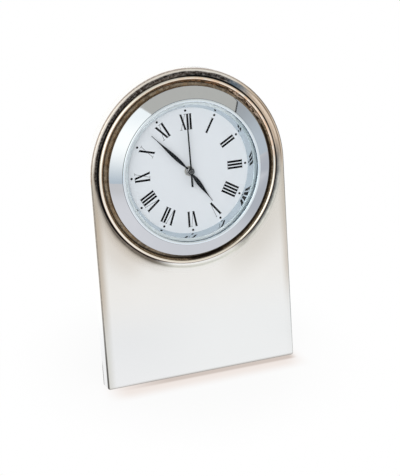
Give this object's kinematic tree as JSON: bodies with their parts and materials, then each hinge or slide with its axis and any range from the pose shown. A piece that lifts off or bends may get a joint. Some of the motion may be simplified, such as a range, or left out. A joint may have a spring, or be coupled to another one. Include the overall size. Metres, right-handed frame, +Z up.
{
  "type": "photo frame clock",
  "caption": "Arched polished plate leaning on a hinged wooden strut, with a push-fit round clock whose hands, gear train, setting knob and battery cover move.",
  "frame": {"origin": "on the floor, under the middle of the standing clock's bounding box", "axes": "+Z up, +X to the right of a viewer in front of the dial, +Y backwards from the viewer towards the strut"},
  "size_m": [0.08, 0.032, 0.1215],
  "materials": {
    "silver_plate": "polished silver plate",
    "board_wood": "stained and varnished",
    "hinge_brass": "satin",
    "screw_brass": "satin",
    "screw_steel": "bright",
    "bezel_chrome": "polished",
    "clear_glass": "clear",
    "dial_white": "matt white",
    "black_plastic": "fine matt",
    "grip_rubber": "matt",
    "movement_plastic": "matt",
    "gear_plastic": "matt",
    "motor_iron": "plain",
    "coil_copper": "enamelled copper wire",
    "circuit_green": "satin",
    "cell_steel": "bright",
    "contact_brass": "bright",
    "train_brass": "bright",
    "magnet_dark": "plain",
    "hand_black": "satin black"
  },
  "bodies": {
    "frame": {"front_shell": "silver_plate", "backing_board": "board_wood", "hinge_board_leaf": "hinge_brass", "hinge_pin": "screw_steel", "hinge_board_screws": "screw_brass"},
    "strut": {"strut": "board_wood", "hinge_strut_leaf": "hinge_brass", "hinge_strut_screws": "screw_brass"},
    "insert": {"bezel": "bezel_chrome", "crystal": "clear_glass", "crystal_gasket": "grip_rubber", "reflector_ring": "bezel_chrome", "dial": "dial_white", "case_back": "black_plastic", "grip_ring": "grip_rubber", "movement_front_plate": "movement_plastic", "movement_middle_plate": "movement_plastic", "movement_rear_case": "movement_plastic", "movement_screws": "screw_steel", "stator": "motor_iron", "coil_core": "motor_iron", "coil": "coil_copper", "circuit_board": "circuit_green", "circuit_chip": "black_plastic", "resonator_can": "screw_steel", "button_cell": "cell_steel", "contact_negative": "contact_brass", "contact_positive": "contact_brass"},
    "second": {"second_hand": "hand_black", "second_wheel": "gear_plastic"},
    "step": {"step_wheel": "gear_plastic"},
    "rotor": {"rotor": "gear_plastic", "rotor_magnet": "magnet_dark"},
    "third": {"third_wheel": "gear_plastic"},
    "minute": {"minute_hand": "hand_black", "cannon_pinion": "train_brass", "center_wheel": "gear_plastic"},
    "minute_wheel": {"minute_wheel": "gear_plastic"},
    "hour": {"hour_hand": "hand_black", "hour_wheel": "gear_plastic"},
    "setting": {"setting_stem": "gear_plastic", "setting_knob": "black_plastic"},
    "battery_cover": {"battery_cover": "black_plastic"}
  },
  "joints": [
    {"name": "strut_fold", "type": "hinge", "parent": "frame", "child": "strut", "pos_m": [0, -0.00226, 0.04125], "axis": [-1, 0, 0], "range_deg": [0, 26.5]},
    {"name": "insert_pull", "type": "slide", "parent": "frame", "child": "insert", "axis": [0, -0.9854, 0.1702], "range_m": [0, 0.03]},
    {"name": "second_turn", "type": "hinge", "parent": "insert", "child": "second", "pos_m": [0, -0.00209, 0.08222], "axis": [0, 0.9854, -0.1702], "continuous": true},
    {"name": "step_turn", "type": "hinge", "parent": "insert", "child": "step", "pos_m": [0.00324, -0.00113, 0.08775], "axis": [0, 0.9854, -0.1702], "continuous": true},
    {"name": "rotor_turn", "type": "hinge", "parent": "insert", "child": "rotor", "pos_m": [0.00587, -0.00036, 0.09223], "axis": [0, 0.9854, -0.1702], "continuous": true},
    {"name": "third_turn", "type": "hinge", "parent": "insert", "child": "third", "pos_m": [-0.00779, -0.00132, 0.08665], "axis": [0, 0.9854, -0.1702], "continuous": true},
    {"name": "minute_turn", "type": "hinge", "parent": "insert", "child": "minute", "pos_m": [0, -0.00209, 0.08222], "axis": [0, 0.9854, -0.1702], "continuous": true},
    {"name": "minute_wheel_turn", "type": "hinge", "parent": "insert", "child": "minute_wheel", "pos_m": [0.00375, -0.00319, 0.07582], "axis": [0, 0.9854, -0.1702], "continuous": true},
    {"name": "hour_turn", "type": "hinge", "parent": "insert", "child": "hour", "pos_m": [0, -0.00209, 0.08222], "axis": [0, 0.9854, -0.1702], "continuous": true},
    {"name": "setting_turn", "type": "hinge", "parent": "insert", "child": "setting", "pos_m": [0.0075, -0.0043, 0.06942], "axis": [0, 0.9854, -0.1702], "continuous": true},
    {"name": "battery_cover_slide", "type": "slide", "parent": "insert", "child": "battery_cover", "axis": [0, 0.1702, 0.9854], "range_m": [0, 0.013]}
  ],
  "couplings": [
    {"joint": "step_turn", "follows": "second_turn", "ratio": -5},
    {"joint": "rotor_turn", "follows": "second_turn", "ratio": 30},
    {"joint": "third_turn", "follows": "second_turn", "ratio": -0.13333},
    {"joint": "minute_turn", "follows": "second_turn", "ratio": 0.016667},
    {"joint": "minute_wheel_turn", "follows": "second_turn", "ratio": -0.0055556},
    {"joint": "hour_turn", "follows": "second_turn", "ratio": 0.0013889},
    {"joint": "setting_turn", "follows": "second_turn", "ratio": 0.016667}
  ]
}
